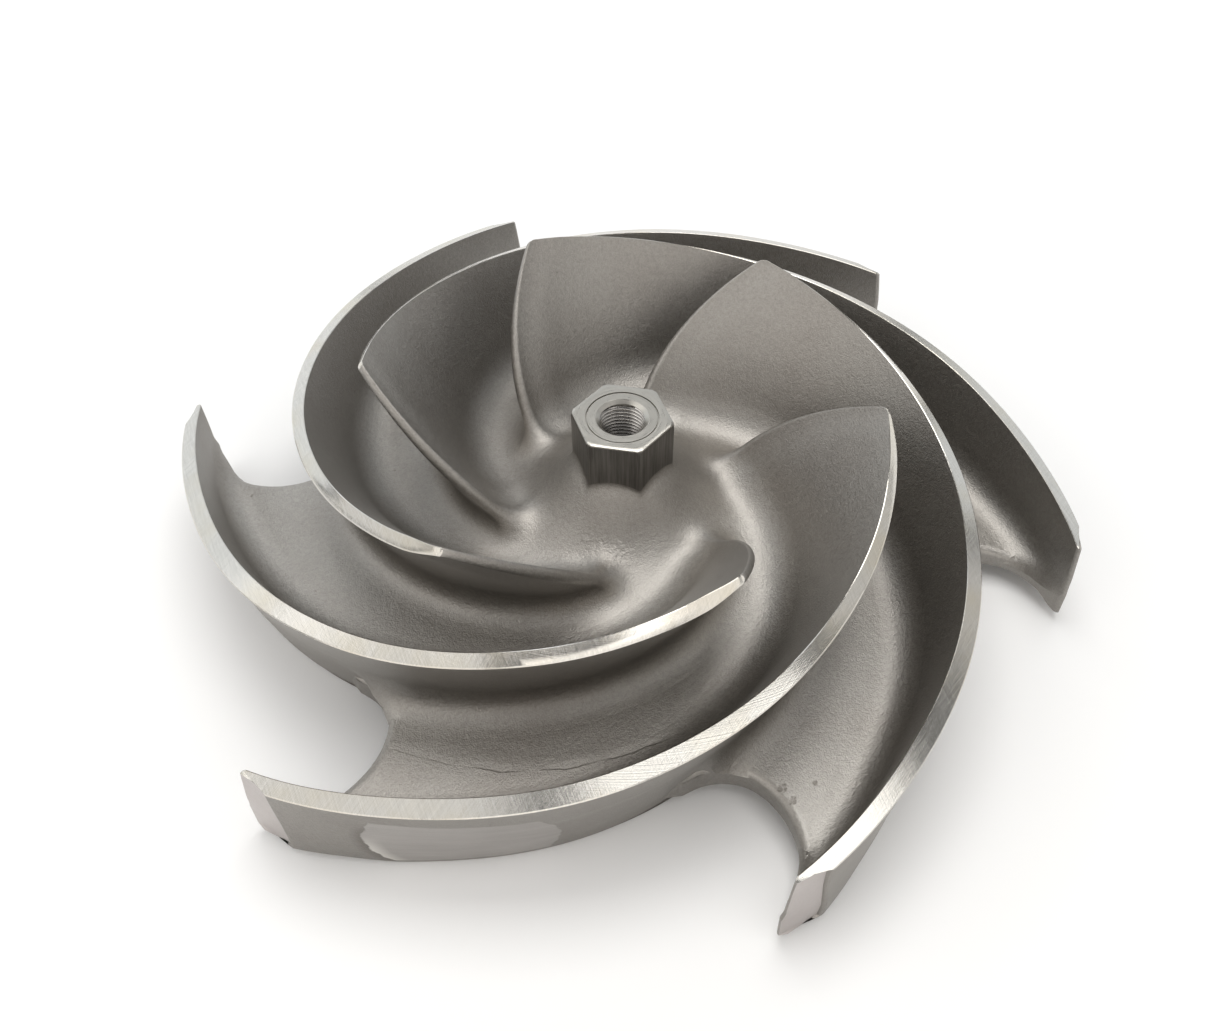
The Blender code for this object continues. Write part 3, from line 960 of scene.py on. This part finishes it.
def fillFiledSteel():
    tree = filedSteel.node_tree
    grain = placeGroup(tree, blastGrain)
    marks = placeGroup(tree, fileMarks, Across=finish["filedMarks"], Turn=(0, math.radians(90), 0))
    colour = mixColours(tree, grain.outputs["Cloud"], finish["filedDark"], finish["filedLight"])
    finishMetal(filedSteel, colour, rangeNode(tree, grain.outputs["Grain"], 0.0, 1.0, *finish["filedRough"]),
                bumpNode(tree, marks.outputs["Marks"], 0.00008, 0.5))


def fillNoseSteel():
    tree = noseSteel.node_tree
    lines = placeGroup(tree, latheLines, Lines=finish["noseLines"])
    finishMetal(noseSteel, mixColours(tree, lines.outputs["Broad"], finish["noseDark"], finish["noseLight"]),
                rangeNode(tree, lines.outputs["Fine"], 0.3, 0.7, *finish["noseRough"]),
                bumpNode(tree, lines.outputs["Fine"], 0.00003, 0.3))


def fillFlatSteel():
    tree = flatSteel.node_tree
    stretched = addNode(tree, "Mapping")
    stretched.inputs["Scale"].default_value = finish["flatStretch"]
    tree.links.new(objectPoints(tree), stretched.inputs["Vector"])
    strokes = noiseNode(tree, stretched.outputs[0], 1.0, 3.0, 0.6)
    # the flats' colours carry painted shade; the brushed streaks are their own
    colour = mixColours(tree, rangeNode(tree, strokes, 0.35, 0.65), finish["flatShadedDark"], finish["flatShadedLight"])
    finishMetal(flatSteel, colour, finish["flatRough"], bumpNode(tree, strokes, 0.00005, 0.4))


def fillThreadSteel():
    tree = threadSteel.node_tree
    grain = placeGroup(tree, blastGrain)
    radius, angle, height = polarParts(tree, objectPoints(tree))
    # painted highlight on the thread's crests, painted shade over its flanks and roots
    crest = rangeNode(tree, radius, (thread["crest"] + 0.25) * mm, thread["crest"] * mm)
    finishMetal(threadSteel, mixColours(tree, crest, finish["threadPaintedShade"], finish["threadPaintedHighlight"]),
                rangeNode(tree, grain.outputs["Grain"], 0.0, 1.0, *finish["threadRough"]))


fillCastSteel()
fillTurnedSteel()
fillFiledSteel()
fillNoseSteel()
fillFlatSteel()
fillThreadSteel()
print("Finishes made")

# Studio: pale floor, soft lights and the photograph's viewing angle
studio = {
    "floorSize": 6.0, "floorDrop": 0.2, "floorColour": (0.93, 0.93, 0.93, 1), "floorRough": 0.9,
    "worldStrength": 0.2,
    # soft lights all round, like a white room: name, place, size, power and colour
    "lights": [
        ("rightLight", (1.483, 0.0, 0.599), (1.2, 1.2), 2.3, "plainWhite"),
        ("backRightLight", (1.063, 1.063, 0.547), (0.9, 0.9), 1.8, "coolWhite"),
        ("backLight", (0.0, 1.483, 0.599), (1.3, 1.3), 3.7, "coolWhite"),
        ("backLeftLight", (-1.049, 1.049, 0.599), (1.3, 1.3), 4.7, "coolWhite"),
        ("leftLight", (-1.483, 0.0, 0.599), (1.1, 1.1), 2.8, "plainWhite"),
        ("frontLeftLight", (-1.049, -1.049, 0.599), (1.3, 1.3), 5.8, "warmWhite"),
        ("frontLight", (0.0, -1.538, 0.441), (1.2, 1.2), 5.5, "warmWhite"),
        ("frontRightLight", (1.063, -1.063, 0.547), (1.2, 1.2), 4.7, "warmWhite"),
        ("highLeftLight", (-0.97, -0.171, 1.261), (1.2, 1.2), 3.5, "plainWhite"),
        ("windowLight", (0.189, -1.344, 0.848), (0.35, 0.35), 0.4, "plainWhite"),
        ("topLight", (0.05, 0.45, 1.5), (1.1, 0.9), 12.0, "plainWhite"),
        ("longLight", (0.445, -0.35, 1.5), (1.21, 0.5), 3.9, "plainWhite"),  # mirrored by the turned edges
    ],
    "levelFrom": 1.45,  # lights from this height up hang level; the others face the part
    "coolWhite": (0.93, 0.97, 1.0), "plainWhite": (1.0, 0.99, 0.97), "warmWhite": (1.0, 0.965, 0.92),
    "cameraPlace": (0.0, -0.2316, 0.2710), "cameraTurn": (41.55396, -1.90785, -2.00442),
    "lens": 35.0, "sensor": 36, "shift": (-0.05601, 0.00253), "clipStart": 0.01,
}


def makeFloor():
    bm = bmesh.new()
    bmesh.ops.create_grid(bm, x_segments=1, y_segments=1, size=studio["floorSize"] / 2)
    bmesh.ops.translate(bm, verts=bm.verts, vec=(0, 0, -studio["floorDrop"] * mm))
    mesh = bpy.data.meshes.new("studioFloor")
    bm.to_mesh(mesh)
    bm.free()
    paper = newMaterial("palePaper")
    shader = paper.node_tree.nodes["Principled BSDF"]
    shader.inputs["Base Color"].default_value = studio["floorColour"]
    shader.inputs["Roughness"].default_value = studio["floorRough"]
    mesh.materials.append(paper)
    floor = bpy.data.objects.new("studioFloor", mesh)
    bpy.context.scene.collection.objects.link(floor)


def makeLights():
    scene = bpy.context.scene
    world = bpy.data.worlds.new("softRoom")
    scene.world = world
    world.use_nodes = True
    background = world.node_tree.nodes["Background"]
    background.inputs["Color"].default_value = (1, 1, 1, 1)
    background.inputs["Strength"].default_value = studio["worldStrength"]
    for name, place, size, power, colour in studio["lights"]:
        data = bpy.data.lights.new(name, "AREA")
        data.shape = "RECTANGLE"
        data.energy = power
        data.color = studio[colour]
        data.size, data.size_y = size
        lamp = bpy.data.objects.new(name, data)
        lamp.location = place
        if place[2] < studio["levelFrom"]:
            lamp.rotation_euler = Vector(place).to_track_quat("Z", "Y").to_euler()
        scene.collection.objects.link(lamp)


def makeCamera():
    data = bpy.data.cameras.new("photoCamera")
    data.lens = studio["lens"]
    data.sensor_width = studio["sensor"]
    data.shift_x, data.shift_y = studio["shift"]
    data.clip_start = studio["clipStart"]
    camera = bpy.data.objects.new("photoCamera", data)
    camera.location = studio["cameraPlace"]
    camera.rotation_euler = [math.radians(value) for value in studio["cameraTurn"]]
    bpy.context.scene.collection.objects.link(camera)
    bpy.context.scene.camera = camera


bpy.context.scene.view_settings.view_transform = "Standard"
makeFloor()
makeLights()
makeCamera()
print("Studio set")
